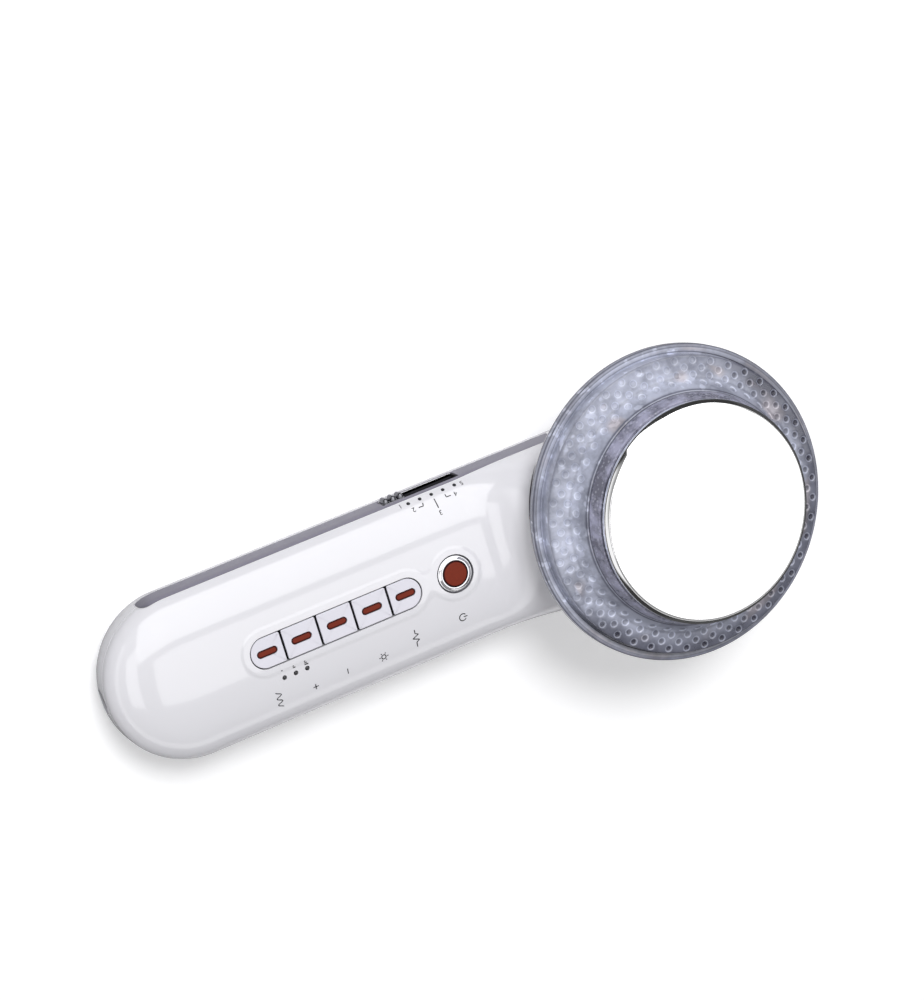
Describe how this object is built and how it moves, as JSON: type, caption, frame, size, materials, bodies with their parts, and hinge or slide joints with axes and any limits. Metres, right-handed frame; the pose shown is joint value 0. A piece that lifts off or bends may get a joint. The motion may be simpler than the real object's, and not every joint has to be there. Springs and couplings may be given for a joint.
{
  "type": "ultrasonic facial device",
  "caption": "Handheld facial device: a flat steel ultrasonic probe in a clear flared light ring on a slim white handle with a row of keys, a power button and a side mode slider.",
  "frame": {"origin": "middle of the whole device in plan, on the flat of its back", "axes": "+X from the handle's butt to the head, +Z out of the keys and the probe face, +Y to the side with the mode slider"},
  "size_m": [0.1994, 0.085, 0.0611],
  "materials": {
    "white_plastic": "glossy white",
    "key_plastic": "satin pale lavender white",
    "red_plastic": "dark red window plastic",
    "grey_plastic": "satin grey lavender",
    "black_plastic": "matte black",
    "chrome": "bright plated",
    "polished_steel": "mirror polished steel",
    "plain_steel": "plain steel",
    "clear_lavender": "clear, smoky lavender",
    "frosted_lavender": "frosted lavender",
    "rubber": "black rubber",
    "circuit_board": "green laminate",
    "led_resin": "clear resin",
    "ceramic": "unglazed ceramic",
    "red_wire": "red insulation",
    "black_wire": "black insulation"
  },
  "bodies": {
    "handle": {"back_shell": "white_plastic", "case_screw_1": "plain_steel", "case_screw_2": "plain_steel", "case_screw_3": "plain_steel", "case_screw_4": "plain_steel", "drive_coil": "ceramic", "front_shell": "white_plastic", "head_cover": "clear_lavender", "key_switch_1": "black_plastic", "key_switch_2": "black_plastic", "key_switch_3": "black_plastic", "key_switch_4": "black_plastic", "key_switch_5": "black_plastic", "led_01": "led_resin", "led_02": "led_resin", "led_03": "led_resin", "led_04": "led_resin", "led_05": "led_resin", "led_06": "led_resin", "led_07": "led_resin", "led_08": "led_resin", "led_09": "led_resin", "led_10": "led_resin", "led_11": "led_resin", "led_12": "led_resin", "led_board": "white_plastic", "level_light_1": "black_plastic", "level_light_2": "black_plastic", "level_light_3": "black_plastic", "light_lead": "black_wire", "main_board": "circuit_board", "power_bezel": "chrome", "power_socket": "black_plastic", "power_switch": "black_plastic", "probe_collar": "frosted_lavender", "probe_gasket": "rubber", "probe_plate": "polished_steel", "side_band_left": "grey_plastic", "side_band_right": "grey_plastic", "slide_switch": "plain_steel", "slider_track": "chrome", "transducer": "ceramic", "transducer_lead": "red_wire"},
    "key_1": {"key_1": "key_plastic", "key_lens_1": "red_plastic"},
    "key_2": {"key_2": "key_plastic", "key_lens_2": "red_plastic"},
    "key_3": {"key_3": "key_plastic", "key_lens_3": "red_plastic"},
    "key_4": {"key_4": "key_plastic", "key_lens_4": "red_plastic"},
    "key_5": {"key_5": "key_plastic", "key_lens_5": "red_plastic"},
    "power_key": {"power_button": "red_plastic"},
    "mode_knob": {"mode_slider": "chrome"}
  },
  "joints": [
    {"name": "key_1_press", "type": "slide", "parent": "handle", "child": "key_1", "axis": [0, 0, -1], "range_m": [0, 0.0006], "stiffness_N_per_m": 400, "springref_m": -0.0005},
    {"name": "key_2_press", "type": "slide", "parent": "handle", "child": "key_2", "axis": [0, 0, -1], "range_m": [0, 0.0006], "stiffness_N_per_m": 400, "springref_m": -0.0005},
    {"name": "key_3_press", "type": "slide", "parent": "handle", "child": "key_3", "axis": [0, 0, -1], "range_m": [0, 0.0006], "stiffness_N_per_m": 400, "springref_m": -0.0005},
    {"name": "key_4_press", "type": "slide", "parent": "handle", "child": "key_4", "axis": [0, 0, -1], "range_m": [0, 0.0006], "stiffness_N_per_m": 400, "springref_m": -0.0005},
    {"name": "key_5_press", "type": "slide", "parent": "handle", "child": "key_5", "axis": [0, 0, -1], "range_m": [0, 0.0006], "stiffness_N_per_m": 400, "springref_m": -0.0005},
    {"name": "power_press", "type": "slide", "parent": "handle", "child": "power_key", "axis": [0, 0, -1], "range_m": [0, 0.0006], "stiffness_N_per_m": 400, "springref_m": -0.0005},
    {"name": "mode_slide", "type": "slide", "parent": "handle", "child": "mode_knob", "axis": [1, 0, 0], "range_m": [0, 0.0138]}
  ]
}
